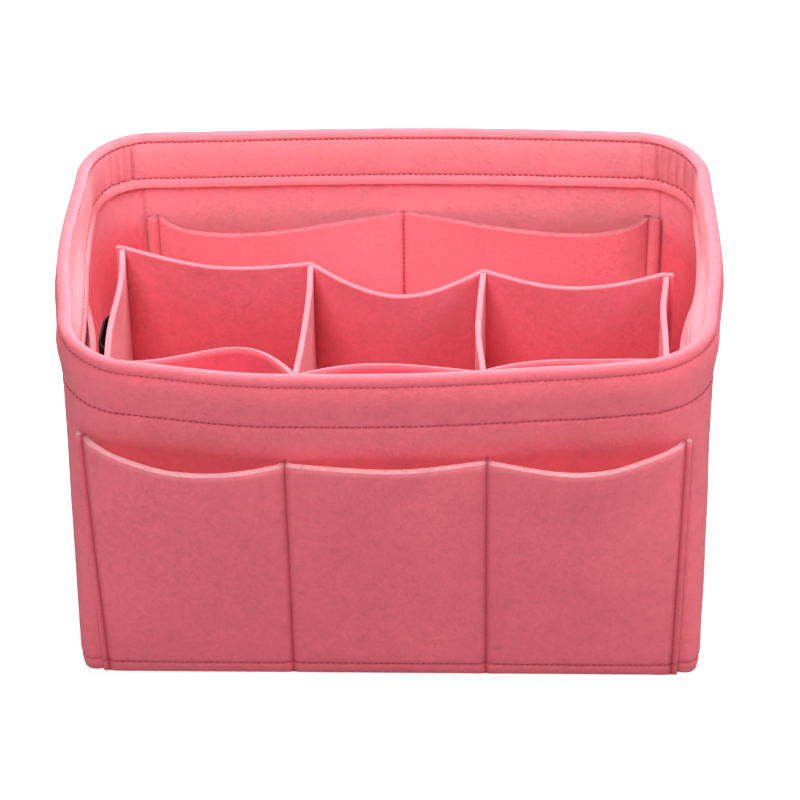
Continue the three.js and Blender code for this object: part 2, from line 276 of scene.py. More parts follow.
# Painted highlights: paler pinks for the cut edges, the top of the rim and the hem's raw edge
PAINTED_HIGHLIGHT = (0.94, 0.24, 0.29)
PAINTED_HIGHLIGHT_INSIDE = (0.95, 0.40, 0.45)
PAINTED_HIGHLIGHT_CUT = (0.97, 0.46, 0.50)
RED_THREAD = (0.50, 0.035, 0.07)
BLACK_DEEP = (0.004, 0.003, 0.004)
BLACK_HIGH = (0.018, 0.015, 0.018)

# Noises of the felt: scale, detail, roughness and distortion, and the node's height in the editor
FIBRE_NOISES = [
    (34, 3, 0.6, 0.4, 400),
    (230, 5, 0.68, 0.9, 150),
    (620, 3, 0.6, 2.2, -100),
    (2100, 2, 0.7, 0.0, -350),
]
STRAND_WIDTH = 0.055
FLECK_LEVEL = 0.42
BASE_TONE = 0.72
CLOUD_TONE = 0.22
CLUMP_TONE = 0.26
STRAND_TONE = 0.06
FLECK_TONE = -0.55
CLUMP_HEIGHT = 0.9
STRAND_HEIGHT = 0.35
GRAIN_HEIGHT = 0.30
FIBRE_DEPTH = 0.7 * MM
FACE_BUMP = 0.6
CUT_BUMP = 0.85
TWIST_SCALE = 900
TWIST_SHADE = 0.6
RIB_SCALE = 190
RIB_DISTORTION = 0.6
KNIT_SCALE = 330
WEAVE_DEPTH = 0.4 * MM
WEAVE_BUMP = 0.6

FELT_SURFACE = {"Roughness": 0.95, "Specular IOR Level": 0.15, "Sheen Weight": 0.2, "Sheen Roughness": 0.45,
                "Sheen Tint": (1.0, 0.72, 0.74, 1)}
THREAD_SURFACE = {"Roughness": 0.6}
ELASTIC_SURFACE = {"Roughness": 0.8, "Specular IOR Level": 0.1}
FLOOR_SURFACE = {"Base Color": (0.50, 0.50, 0.50, 1), "Roughness": 0.9, "Specular IOR Level": 0.1}

# Sockets of a colour Mix node
MIX_FACTOR, MIX_A, MIX_B, MIX_COLOUR = 0, 6, 7, 2


def node(tree, kind, at, inputs=None, **values):
    made = tree.nodes.new(kind)
    made.location = at
    for key, value in values.items():
        setattr(made, key, value)
    set_inputs(made, inputs or {})
    return made


def set_inputs(made, inputs):
    for key, value in inputs.items():
        made.inputs[key].default_value = value


def new_material(name, surface):
    """A material with its node tree and its shader."""
    made = bpy.data.materials.new(name)
    made.use_nodes = True
    shader = made.node_tree.nodes["Principled BSDF"]
    set_inputs(shader, surface)
    return made, made.node_tree, shader


def felt_group():
    """Fibres of compressed felt: a tone that multiplies the colour, and a height for the bump."""
    group = bpy.data.node_groups.new("felt_fibres", "ShaderNodeTree")
    group.interface.new_socket("Vector", in_out="INPUT", socket_type="NodeSocketVector")
    group.interface.new_socket("Tone", in_out="OUTPUT", socket_type="NodeSocketFloat")
    group.interface.new_socket("Height", in_out="OUTPUT", socket_type="NodeSocketFloat")
    start = node(group, "NodeGroupInput", (-900, 0))
    end = node(group, "NodeGroupOutput", (900, 0))

    def noise_at(scale, detail, roughness, distortion, y):
        made = node(group, "ShaderNodeTexNoise", (-650, y), {
            "Scale": scale, "Detail": detail, "Roughness": roughness, "Distortion": distortion})
        group.links.new(start.outputs["Vector"], made.inputs["Vector"])
        return made.outputs["Fac"]

    def math_at(kind, values, at):
        made = node(group, "ShaderNodeMath", at, operation=kind)
        for socket, value in zip(made.inputs, values):
            if isinstance(value, (int, float)):
                socket.default_value = value
            else:
                group.links.new(value, socket)
        return made.outputs[0]

    cloud, clump, strand, grain = [noise_at(*values) for values in FIBRE_NOISES]
    off_line = math_at("SUBTRACT", (strand, 0.5), (-420, -100))
    off_line = math_at("ABSOLUTE", (off_line,), (-260, -100))
    off_line = math_at("DIVIDE", (off_line, STRAND_WIDTH), (-100, -100))
    off_line = math_at("MINIMUM", (off_line, 1.0), (40, -100))
    fibre = math_at("SUBTRACT", (1.0, off_line), (180, -100))
    fleck = math_at("SUBTRACT", (FLECK_LEVEL, clump), (180, 480))
    fleck = math_at("MAXIMUM", (fleck, 0.0), (320, 480))
    tone = math_at("MULTIPLY_ADD", (cloud, CLOUD_TONE, BASE_TONE), (-100, 400))
    tone = math_at("MULTIPLY_ADD", (clump, CLUMP_TONE, tone), (180, 330))
    tone = math_at("MULTIPLY_ADD", (fibre, STRAND_TONE, tone), (460, 260))
    tone = math_at("MULTIPLY_ADD", (fleck, FLECK_TONE, tone), (620, 360))
    high = math_at("MULTIPLY", (clump, CLUMP_HEIGHT), (-100, -260))
    high = math_at("MULTIPLY_ADD", (fibre, STRAND_HEIGHT, high), (460, -200))
    high = math_at("MULTIPLY_ADD", (grain, GRAIN_HEIGHT, high), (620, -250))
    group.links.new(tone, end.inputs["Tone"])
    group.links.new(high, end.inputs["Height"])
    return group


def tinted(tree, base, attribute, colour, at):
    """Mixes a colour in where the piece's attribute says so."""
    mask = node(tree, "ShaderNodeAttribute", (at[0] - 250, at[1] + 150), attribute_name=attribute)
    blend = node(tree, "ShaderNodeMix", at, data_type="RGBA")
    tree.links.new(mask.outputs["Fac"], blend.inputs[MIX_FACTOR])
    if isinstance(base, tuple):
        blend.inputs[MIX_A].default_value = (*base, 1)
    else:
        tree.links.new(base, blend.inputs[MIX_A])
    blend.inputs[MIX_B].default_value = (*colour, 1)
    return blend.outputs[MIX_COLOUR]


def felt_material(name, colour, fibres, highlight_colour, lit="lit", bump=FACE_BUMP):
    """Felt of one colour, with its tints: lit is the attribute that mixes in painted light on the bag's inside.
    """
    made, tree, shader = new_material(name, FELT_SURFACE)
    place = node(tree, "ShaderNodeTexCoord", (-1100, 0))
    group = node(tree, "ShaderNodeGroup", (-850, 0), node_tree=fibres)
    tree.links.new(place.outputs["Object"], group.inputs["Vector"])
    # Painted light on the bag's inside
    base = tinted(tree, colour, lit, PAINTED_LIGHT, (-950, 300))
    # Painted red glow and shade
    base = tinted(tree, base, "painted_glow_and_shade", PAINTED_GLOW_AND_SHADE, (-850, 300))
    # Painted highlight on cut edges, the rim and the hem's raw edge
    base = tinted(tree, base, "painted_highlight", highlight_colour, (-750, 300))
    # Pressed felt with painted shade
    base = tinted(tree, base, "pressed_and_shade", PRESSED_AND_SHADE, (-550, 300))
    toned = node(tree, "ShaderNodeMix", (-300, 200), data_type="RGBA", blend_type="MULTIPLY")
    toned.inputs[MIX_FACTOR].default_value = 1
    tree.links.new(base, toned.inputs[MIX_A])
    tree.links.new(group.outputs["Tone"], toned.inputs[MIX_B])
    tree.links.new(toned.outputs[MIX_COLOUR], shader.inputs["Base Color"])
    raised = node(tree, "ShaderNodeBump", (-350, -200), {"Strength": bump, "Distance": FIBRE_DEPTH})
    tree.links.new(group.outputs["Height"], raised.inputs["Height"])
    tree.links.new(raised.outputs["Normal"], shader.inputs["Normal"])
    return made


def two_tones(tree, factor, low, high, at):
    """A colour between two, by the factor."""
    made = node(tree, "ShaderNodeValToRGB", at)
    made.color_ramp.elements[0].color = (*low, 1)
    made.color_ramp.elements[1].color = (*high, 1)
    tree.links.new(factor, made.inputs["Fac"])
    return made.outputs["Color"]


def thread_material(name, colour):
    made, tree, shader = new_material(name, THREAD_SURFACE)
    place = node(tree, "ShaderNodeTexCoord", (-900, 0))
    twist = node(tree, "ShaderNodeTexNoise", (-650, 0), {"Scale": TWIST_SCALE})
    tree.links.new(place.outputs["Object"], twist.inputs["Vector"])
    shade = [channel * TWIST_SHADE for channel in colour]
    toned = two_tones(tree, twist.outputs["Fac"], shade, colour, (-400, 0))
    tree.links.new(toned, shader.inputs["Base Color"])
    return made


def elastic_material(name):
    """Woven black elastic: ribs along the band, crossed by its knit."""
    made, tree, shader = new_material(name, ELASTIC_SURFACE)
    place = node(tree, "ShaderNodeTexCoord", (-1100, 0))
    ribs = node(tree, "ShaderNodeTexWave", (-850, 100), {"Scale": RIB_SCALE, "Distortion": RIB_DISTORTION},
                bands_direction="Z")
    knit = node(tree, "ShaderNodeTexWave", (-850, -200), {"Scale": KNIT_SCALE}, bands_direction="Y")
    for bands in (ribs, knit):
        tree.links.new(place.outputs["Object"], bands.inputs["Vector"])
    weave = node(tree, "ShaderNodeMath", (-600, -50), operation="MULTIPLY")
    tree.links.new(ribs.outputs["Fac"], weave.inputs[0])
    tree.links.new(knit.outputs["Fac"], weave.inputs[1])
    toned = two_tones(tree, weave.outputs[0], BLACK_DEEP, BLACK_HIGH, (-400, 100))
    tree.links.new(toned, shader.inputs["Base Color"])
    raised = node(tree, "ShaderNodeBump", (-400, -250), {"Strength": WEAVE_BUMP, "Distance": WEAVE_DEPTH})
    tree.links.new(weave.outputs[0], raised.inputs["Height"])
    tree.links.new(raised.outputs["Normal"], shader.inputs["Normal"])
    return made


FIBRES = felt_group()
PINK = felt_material("pink_felt", OUTSIDE, FIBRES, PAINTED_HIGHLIGHT)
# The inner felts start from the lighter copies of the felt: painted light
PINK_INNER_PAINTED_LIGHT = felt_material("pink_felt_inner", INNER_PAINTED_LIGHT, FIBRES, PAINTED_HIGHLIGHT)
PINK_INSIDE_PAINTED_LIGHT = felt_material("pink_felt_inside", INNER_PAINTED_LIGHT, FIBRES, PAINTED_HIGHLIGHT_INSIDE, lit="inside")
CUT_EDGE = felt_material("pink_felt_cut_edge", OUTSIDE, FIBRES, PAINTED_HIGHLIGHT_CUT, bump=CUT_BUMP)
CUT_EDGE_PAINTED_LIGHT = felt_material("pink_felt_cut_edge_inner", RAW_RIM_PAINTED_LIGHT, FIBRES, PAINTED_HIGHLIGHT, bump=CUT_BUMP)
THREAD = thread_material("red_thread", RED_THREAD)
ELASTIC = elastic_material("black_elastic")


# Making felt sheets

TINTS = ("painted_highlight", "pressed_and_shade", "lit", "inside", "painted_glow_and_shade")
GRID_HALF = 0.5
MERGE_DISTANCE = 0.001 * MM
WORN_WIDTH = 0.55
WORN_STEPS = 2
WORN_ANGLE = radians(50)


def grid_mesh(name, columns, rows, place, marks, close_round):
    """A grid laid through place(column, row), with its tints from marks and a UV map in metres.

    Also gives the sheet's flat width and length and its area, in metres.
    """
    work = bmesh.new()
    uv = work.loops.layers.uv.new("cloth")
    layers = {tint: work.verts.layers.float.new(tint) for tint in TINTS}
    bmesh.ops.create_grid(work, x_segments=len(columns) - 1, y_segments=len(rows) - 1, size=GRID_HALF)
    middle = rows[len(rows) // 2]
    centre = columns[len(columns) // 2]
    along = distances([place(column, middle) for column in columns])
    up = distances([place(centre, row) for row in rows])
    spots = {}
    for vert in work.verts:
        i = round((vert.co.x + GRID_HALF) * (len(columns) - 1))
        j = round((vert.co.y + GRID_HALF) * (len(rows) - 1))
        spots[vert] = (i, j)
    for vert, (i, j) in spots.items():
        vert.co = place(columns[i], rows[j]) * MM
        for tint, layer in layers.items():
            vert[layer] = clamp(marks[tint](columns[i], rows[j])) if tint in marks else 0.0
    for face in work.faces:
        face.smooth = True
        for loop in face.loops:
            i, j = spots[loop.vert]
            loop[uv].uv = (along[i] * MM, up[j] * MM)
    if close_round:
        bmesh.ops.remove_doubles(work, verts=work.verts, dist=MERGE_DISTANCE)
    across = [[place(column, row) for column in columns] for row in (rows[0], middle, rows[-1])]
    upward = [[place(column, row) for row in rows] for column in (columns[0], centre, columns[-1])]
    width = max(distances(points)[-1] for points in across)
    length = max(distances(points)[-1] for points in upward)
    area = min(sum(face.calc_area() for face in work.faces), width * length * MM * MM)
    mesh = bpy.data.meshes.new(name)
    work.to_mesh(mesh)
    work.free()
    return mesh, (width * MM, length * MM), area


def felt_piece(name, replaced, columns, rows, place, marks=None, thickness=FELT, materials=None,
               close_round=False, worn_width=WORN_WIDTH, cut=None):
    """A sheet of felt: its grid, thickness and softly rounded edges, put under the bag's root in place of the
    part it replaces.

    The last two of its materials are that of its second face and that of its cut edges.
    """
    if materials is None:
        materials = (PINK, CUT_EDGE) if name.startswith("outer") else (PINK_INNER_PAINTED_LIGHT, CUT_EDGE_PAINTED_LIGHT)
    mesh, flat, area = grid_mesh(name, columns, rows, place, marks or {}, close_round)
    piece = bpy.data.objects.new(name, mesh)
    bpy.context.scene.collection.objects.link(piece)
    for material in materials:
        mesh.materials.append(material)
    thick = piece.modifiers.new("thickness", "SOLIDIFY")
    thick.thickness = thickness * MM
    thick.offset = 0
    thick.use_even_offset = True
    thick.use_quality_normals = True
    thick.material_offset = len(mesh.materials) - 2
    thick.material_offset_rim = len(mesh.materials) - 1
    if worn_width:
        worn_edge = piece.modifiers.new("worn_edges", "BEVEL")
        worn_edge.width = worn_width * MM
        worn_edge.segments = WORN_STEPS
        worn_edge.limit_method = "ANGLE"
        worn_edge.angle_limit = WORN_ANGLE
    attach(piece, "root")
    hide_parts(replaced)
    cut or flat
    return piece


STITCHES = bmesh.new()
STITCH_PITCH = 2.5
STITCH_SHARE = 0.82
STITCH_RADIUS = 0.4
LEAST_STITCH = 0.2
LEAST_RUN = 1e-9
SEAM_SAMPLES = 500
HEM_SAMPLES = 900


def sew(curve, start, end, radius=STITCH_RADIUS, samples=SEAM_SAMPLES):
    """A row of stitches along curve(t), which gives points in millimetres."""
    points = [curve(mix(start, end, i / samples)) for i in range(samples + 1)]
    runs = distances(points)
    index = 0
    for number in range(int(runs[-1] / STITCH_PITCH)):
        ends = []
        for share in (0.5 - STITCH_SHARE / 2, 0.5 + STITCH_SHARE / 2):
            distance = (number + share) * STITCH_PITCH
            while index < samples - 1 and runs[index + 1] < distance:
                index += 1
            part = (distance - runs[index]) / max(LEAST_RUN, runs[index + 1] - runs[index])
            ends.append(points[index].lerp(points[index + 1], clamp(part)))
        way = ends[1] - ends[0]
        if way.length < LEAST_STITCH:
            continue
        turn = way.to_track_quat("X", "Z").to_matrix().to_4x4()
        size = Matrix.Diagonal((way.length / 2 * MM, radius * MM, radius * MM, 1))
        move = Matrix.Translation((ends[0] + ends[1]) / 2 * MM)
        bmesh.ops.create_icosphere(STITCHES, subdivisions=1, radius=1, matrix=move @ turn @ size)


# Walls with their hem

OUTER_HEM_STITCH = 137.6
OUTER_RIM_STITCH = 157.6
INNER_HEM_STITCH = 140.2
INNER_RIM_STITCH = 158.9
BASE_STITCH = 6
WALL_START = 0.3
FOOT_TOP = 14
STITCH_PROUD = 0.15

# A stitch line presses the felt in, and the felt gathers beside it: widths at the hem's line and at the rim's
SEAM_DEPTH = 0.6
SEAM_WIDTHS = (1.0, 0.9)
GATHER_WIDTHS = (4, 3)
GATHER_SLANT = 0.2

# The middle of the felt turns over the rim on this radius, with a little slack between its layers
ROLL = 1.45
ROLL_STEPS = 8
ROLL_SLACK = 0.07
RIM_LIFT = 0.3
ROLL_MIDDLE = FELT + ROLL_SLACK
ROLL_BOTTOM = HEIGHT + RIM_LIFT - FELT / 2 - ROLL

# Each layer: its stitch lines, how far in it lies and meets the roll, and its puff with the puff's skew
LAYERS = {
    "outside": (OUTER_HEM_STITCH, OUTER_RIM_STITCH, FELT / 2, ROLL_MIDDLE - ROLL, 1.5, 2.0),
    "hem": (INNER_HEM_STITCH, INNER_RIM_STITCH, 2 * ROLL_MIDDLE - FELT / 2, ROLL_MIDDLE + ROLL, 0.8, 1.2),
}

# The bottom edge is drawn in where it is sewn to the base
TUCK = 1.2
TUCK_TOP = 8
TUCK_GROWTH = 1.5
BASE_SEAM_DEPTH = 0.55
BASE_SEAM_WIDTH = 1.2

# It is pushed out at the front and back corners, over these x, y and heights
CORNER_PUSH = 1.3
CORNER_PUSH_START = (118.5, 123.5)
CORNER_PUSH_END = (124.5, 130.5)
CORNER_PUSH_Y = (50, 70)
CORNER_PUSH_Z = (20, 0)

# The wall's waves fade out below the hem's stitches
WAVE_FADE = 6

# The hem's raw edge stands off the wall, most at the ends: depth, middle and width at the left and the right
HEM_STAND = 1.1
HEM_STAND_HEIGHT = 3.5
LEFT_STAND = (4.6, -8, 36)
RIGHT_STAND = (6.3, -22, 34)
END_STAND_X = (108, 126)
END_STAND_Z = (154, 140)

# Creases of the hem at the back corners, as x and depth, between two heights
REAR_CREASES = [(-113.7, 1.0), (-117.9, 0.6), (-122.0, 0.8), (-124.7, 0.5), (106.8, 0.4), (113.6, 0.8),
                (117.4, 0.5), (121.1, 0.5), (124.8, 0.5), (128.4, 0.4)]
REAR_CREASE_DEPTH = 1.4
REAR_CREASE_WIDTH = 1.1
REAR_CREASE_BOTTOM = (137, 142)
REAR_CREASE_TOP = (159, 153)

# Two creases of the back wall below its hem
WALL_CREASES = [-109.4, 115.2]
WALL_CREASE_DEPTH = 1.3
WALL_CREASE_WIDTH = 1.0
WALL_CREASE_BOTTOM = (90, 110)
WALL_CREASE_FADE = 2

# Tints of the wall: painted highlight, pressed felt with painted shade, painted light and painted red glow; how
# strong they are and where they start and end
RIM_HIGHLIGHT = 0.25
HEM_HIGHLIGHT = 0.8
HEM_HIGHLIGHT_Z = (HEM_BOTTOM + 3.4, HEM_BOTTOM + 1.2)
# Pressed felt with painted shade at the stitch lines, and painted shade in the hem's creases
SEAM_PRESSED_AND_SHADE = 0.55
SEAM_PRESSED_AND_SHADE_WIDTH = 0.8
CREASE_SHADE = 0.35
CREASE_SHADE_WIDTH = 0.9
LIT_HEM = 0.9
LIT_WALL = 0.85
LIT_WALL_Z = (100, 126)
# Painted red glow in the mouths of the outer pockets
MOUTH_GLOW = 0.9
MOUTH_GLOW_X = (121, 109)
MOUTH_GLOW_TOP = (131, 117)
MOUTH_GLOW_BOTTOM = (60, 80)


def wall_rows():
    """Rows from the bottom up the outside, over the rim and down to the hem's raw edge, as (layer, height)."""
    outside = around([BASE_STITCH], WALL_START, FOOT_TOP, reach=2.6, spacing=2.4)[:-1]
    outside += around([OUTER_HEM_STITCH, OUTER_RIM_STITCH], FOOT_TOP, ROLL_BOTTOM, reach=2.4, spacing=3.2)
    hem = around([INNER_HEM_STITCH, INNER_RIM_STITCH], HEM_BOTTOM, ROLL_BOTTOM, reach=1.8, spacing=2.4)
    rows = [("outside", z) for z in outside]
    rows += [("rim", i / ROLL_STEPS) for i in range(1, ROLL_STEPS)]
    rows += [("hem", z) for z in reversed(hem)]
    return rows


def base_tuck(z):
    """How far the sewn bottom edge is drawn in."""
    tuck = TUCK * (1 - clamp(z / TUCK_TOP)) ** TUCK_GROWTH
    return tuck + BASE_SEAM_DEPTH * dent(z, BASE_STITCH, BASE_SEAM_WIDTH)


def outside_inset(flat, level, end):
    """How much further in the outside lies at its foot, in its waves and beside its creases."""
    inset = base_tuck(level)
    corner = ramp(abs(flat.x), *CORNER_PUSH_START) * (1 - ramp(abs(flat.x), *CORNER_PUSH_END))
    inset -= CORNER_PUSH * corner * ramp(flat.y * end, *CORNER_PUSH_Y) * ramp(level, *CORNER_PUSH_Z)
    inset += wave("wall", flat.x, flat.y, level) * clamp((OUTER_HEM_STITCH - level) / WAVE_FADE)
    if end > 0:
        crease = WALL_CREASE_DEPTH * dents(flat.x, WALL_CREASES, WALL_CREASE_WIDTH)
        inset -= crease * ramp(level, *WALL_CREASE_BOTTOM) * clamp((HEM_BOTTOM - level) / WALL_CREASE_FADE)
    return inset


def hem_inset(flat, level, end):
    """How much further in the hem lies at its raw edge, at the bag's ends and beside its creases."""
    edge = HEM_STAND * ramp(level, INNER_HEM_STITCH, INNER_HEM_STITCH - HEM_STAND_HEIGHT)
    inset = edge * (1 + wave("hem_edge", flat.x, flat.y, 0))
    stand, middle, width = LEFT_STAND if flat.x < 0 else RIGHT_STAND
    stand *= dent(flat.y, middle, width)
    inset += stand * ramp(abs(flat.x), *END_STAND_X) * ramp(level, *END_STAND_Z)
    if end > 0:
        window = ramp(level, *REAR_CREASE_BOTTOM) * ramp(level, *REAR_CREASE_TOP)
        crease = sum(depth * dent(flat.x, x, REAR_CREASE_WIDTH) for x, depth in REAR_CREASES)
        inset -= REAR_CREASE_DEPTH * window * crease
    return inset


def wall_place(end):
    """Lays the wall's felt up the outside, over the rim and down inside as the hem."""
    def place(station, row):
        layer, level = row
        if layer == "rim":
            inset = ROLL_MIDDLE - ROLL * cos(level * pi)
            return wall_point(station, inset, ROLL_BOTTOM + ROLL * sin(level * pi))
        low, high, inset, roll_inset, puff, skew = LAYERS[layer]
        flat = wall_point(station, inset, level)
        stitched = SEAM_DEPTH * (dent(level, low, SEAM_WIDTHS[0]) + dent(level, high, SEAM_WIDTHS[1]))
        beside = dent(level, low, GATHER_WIDTHS[0]) + dent(level, high, GATHER_WIDTHS[1])
        gather = wave("hem_gather", flat.x, flat.y, level * GATHER_SLANT) * beside
        proud = puff * mouth((level - low) / (high - low), skew) + gather - stitched
        inset += (roll_inset - inset) * ramp(level, high, ROLL_BOTTOM)
        if layer == "outside":
            inset += outside_inset(flat, level, end) - proud
        else:
            inset += hem_inset(flat, level, end) + proud
        return wall_point(station, inset, level)
    return place


# Painted highlight on the top of the rim and along the hem's raw edge
def wall_highlight(station, row):
    layer, level = row
    if layer == "rim":
        return RIM_HIGHLIGHT * sin(level * pi)
    return HEM_HIGHLIGHT * ramp(level, *HEM_HIGHLIGHT_Z) if layer == "hem" else 0.0


# Pressed felt with painted shade along the stitch lines, and painted shade in the hem's rear creases
def wall_pressed_and_shade(station, row):
    layer, level = row
    if layer == "rim":
        return 0.0
    low, high = LAYERS[layer][:2]
    lines = (BASE_STITCH, low, high) if layer == "outside" else (low, high)
    creased = 0.0
    if layer == "hem" and station[2] > 0:
        x = wall_point(station, 0, level).x
        creased = sum(depth * dent(x, at, CREASE_SHADE_WIDTH) for at, depth in REAR_CREASES)
        creased *= ramp(level, *REAR_CREASE_BOTTOM)
    return SEAM_PRESSED_AND_SHADE * dents(level, lines, SEAM_PRESSED_AND_SHADE_WIDTH) + CREASE_SHADE * creased


# Painted light on the hem and the inner half of the rim
def wall_lit(station, row):
    layer, level = row
    return {"outside": 0.0, "rim": LIT_HEM * ramp(level, 0.5, 1), "hem": LIT_HEM}[layer]


# Painted light on the wall's inner face, growing from 100 to 126 mm up, and on the rim and the hem
def wall_inside_painted_light(station, row):
    layer, level = row
    return LIT_WALL * ramp(level, *LIT_WALL_Z) if layer == "outside" else LIT_HEM


def wall_painted_glow(station, row):
    """Painted red glow on the front wall's felt in the mouths of the outer pockets."""
    part, side, end, along = station
    layer, level = row
    if layer != "outside" or part == "side" or end > 0:
        return 0.0
    across = ramp(abs(wall_point(station, 0, level).x), *MOUTH_GLOW_X)
    return MOUTH_GLOW * across * ramp(level, *MOUTH_GLOW_TOP) * ramp(level, *MOUTH_GLOW_BOTTOM)


WALL_MARKS = {"painted_highlight": wall_highlight, "pressed_and_shade": wall_pressed_and_shade, "lit": wall_lit, "inside": wall_inside_painted_light,
              "painted_glow_and_shade": wall_painted_glow}
HEM_LINES = [("outside", OUTER_HEM_STITCH), ("outside", OUTER_RIM_STITCH), ("hem", INNER_HEM_STITCH),
             ("hem", INNER_RIM_STITCH)]

for end, name, corner_count, faces in ((-1, "wall_front", 40, (PINK, PINK_INSIDE_PAINTED_LIGHT)),
                                       (1, "wall_back", 70, (PINK_INSIDE_PAINTED_LIGHT, PINK))):
    route = half_route(end, corner_count=corner_count)
    place = wall_place(end)
    felt_piece(name + "_felt", name, route, wall_rows(), place, WALL_MARKS, materials=(*faces, CUT_EDGE_PAINTED_LIGHT))
    for layer, level in HEM_LINES:
        turned = -end if layer == "outside" else end
        points = []
        for before, station, after in zip(route, route[1:], route[2:]):
            way = place(after, (layer, level)) - place(before, (layer, level))
            outward = Vector((way.y, -way.x, 0)).normalized() * turned
            points.append(place(station, (layer, level)) + outward * (FELT / 2 + STITCH_PROUD))

        def hem_line(t, points=points):
            index = min(len(points) - 2, int(t))
            return points[index].lerp(points[index + 1], t - index)
        sew(hem_line, 0, len(points) - 1, samples=HEM_SAMPLES)


# Base with its upturned lip

BASE_ROUTE = half_route(-1, side_count=8, corner_count=10, face_count=40)
BASE_ROUTE += reversed(half_route(1, side_count=8, corner_count=10, face_count=40))
BASE_ROUTE.append(BASE_ROUTE[0])
BASE_ROWS = [("floor", share) for share in (0.0, 0.25, 0.5, 0.7, 0.85, 0.93, 0.97, 1.0)]
BASE_ROWS += [("lip", z) for z in (1.7, 2.6, 4.4, 6, LIP)]
BASE_CUT = (0.267, 0.166)


def base_place(station, row):
    """The floor as shares of the way from the middle to its edge, and then the lip by height."""
    kind, value = row
    edge = FELT + GAP + FELT / 2
    if kind == "floor":
        rim = wall_point(station, edge + base_tuck(0), FELT / 2)
        rim.z = 0
        return rim * value + Vector((0, 0, FELT / 2))
    return wall_point(station, edge + base_tuck(value), value)


felt_piece("base_panel_felt", "base_panel", BASE_ROUTE, BASE_ROWS, base_place, close_round=True, worn_width=0,
           cut=BASE_CUT)


# Outer pocket strips

STRIP_HALF = 121
STRIP_START = 0.4
END_SEAM = 118.4
MIDDLE_SEAM = 40.5
OUTER_SEAMS = [-END_SEAM, -MIDDLE_SEAM, MIDDLE_SEAM, END_SEAM]
OUTER_GAPES = [10.2, 4, 10.2]
OUTER_GROWTH = 1.5
# How far the end seams lean outwards at the top, on the left and the right
LEFT_FAN = -3.4
RIGHT_FAN = 1.2
# How much higher the ends are cut, and where that starts
LEFT_RISE = (4.5, 84)
RIGHT_RISE = (2.8, 90)
RISE_GROWTH = 1.3
# At a seam the strip is sunk, puffs up beside it and is pulled into small folds, over these widths and heights
SINK = 1.5
SINK_WIDTH = 1.5
SINK_Z = (0, 5)
PUFF = 0.6
PUFF_WIDTH = 6
PUFF_HEIGHT = 12
PUFF_LEVEL = 0.5
PULL_WIDTH = 7
PULL_SLANT = 0.2
# Pressed felt with painted shade in the grooves of the seams
END_SEAM_PRESSED_AND_SHADE = 0.95
END_SEAM_PRESSED_AND_SHADE_WIDTH = 1.3
# The bottom seam's ends, and the bar of stitches that closes each middle seam over the strip's edge
BOTTOM_SEAM_HALF = 120.5
SEAM_START = 3
BAR_LENGTH = 3
BAR_RADIUS = 0.6
BAR_LIFT = 0.2
BAR_SAMPLES = 20
# Painted highlight on a cut top edge
TOP_HIGHLIGHT = 0.3
STRIP_TOP_HIGHLIGHT = 0.95
TOP_HIGHLIGHT_REACH = 1.6


def fanned(x, z):
    """The strip's end seams lean outwards with height."""
    fan = (LEFT_FAN if x < 0 else RIGHT_FAN) * z / STRIP_TOP
    return x + fan * max(0.0, abs(x) - MIDDLE_SEAM) / (END_SEAM - MIDDLE_SEAM)


def corner_rise(x):
    """The strip's free edge is cut higher towards its ends."""
    rise, start = LEFT_RISE if x < 0 else RIGHT_RISE
    return rise * clamp((abs(x) - start) / (STRIP_HALF - start)) ** RISE_GROWTH


def outer_strip_place(side):
    """The strip gapes between its seams and is drawn in with the wall at the bottom."""
    def place(x, z):
        z *= 1 + corner_rise(x) / STRIP_TOP
        index, fraction = pocket_at(x, OUTER_SEAMS)
        rise = clamp(z / STRIP_TOP)
        gape = OUTER_GAPES[index] * mouth(fraction) * rise ** OUTER_GROWTH
        sway = wave("outer_strip", x, 0, z, turn=side) * mouth(fraction) * rise
        pull = wave("outer_seam", x * PULL_SLANT, 0, z) * dents(x, OUTER_SEAMS, PULL_WIDTH)
        puff = PUFF * max(0.0, dents(x, OUTER_SEAMS, PUFF_WIDTH) * clamp(z / PUFF_HEIGHT) - PUFF_LEVEL)
        sunk = SINK * dents(x, OUTER_SEAMS, SINK_WIDTH) * ramp(z, *SINK_Z)
        actual = fanned(x, z)
        inset = sunk + base_tuck(z) - (GAP + FELT / 2)
        return Vector((actual, face_y(side, actual, z, inset) + side * (gape + sway + pull + puff), z))
    return place


def cut_top(top, share=TOP_HIGHLIGHT):
    """Painted highlight on a sheet's cut top edge."""
    return lambda column, z: share * clamp(1 - (top - z) / TOP_HIGHLIGHT_REACH)


# Pressed felt with painted shade in the seams' grooves and along the bottom stitches
def outer_pressed_and_shade(x, z):
    upright = END_SEAM_PRESSED_AND_SHADE * dents(x, OUTER_SEAMS, END_SEAM_PRESSED_AND_SHADE_WIDTH)
    return upright + SEAM_PRESSED_AND_SHADE * dent(z, BASE_STITCH, SEAM_PRESSED_AND_SHADE_WIDTH)


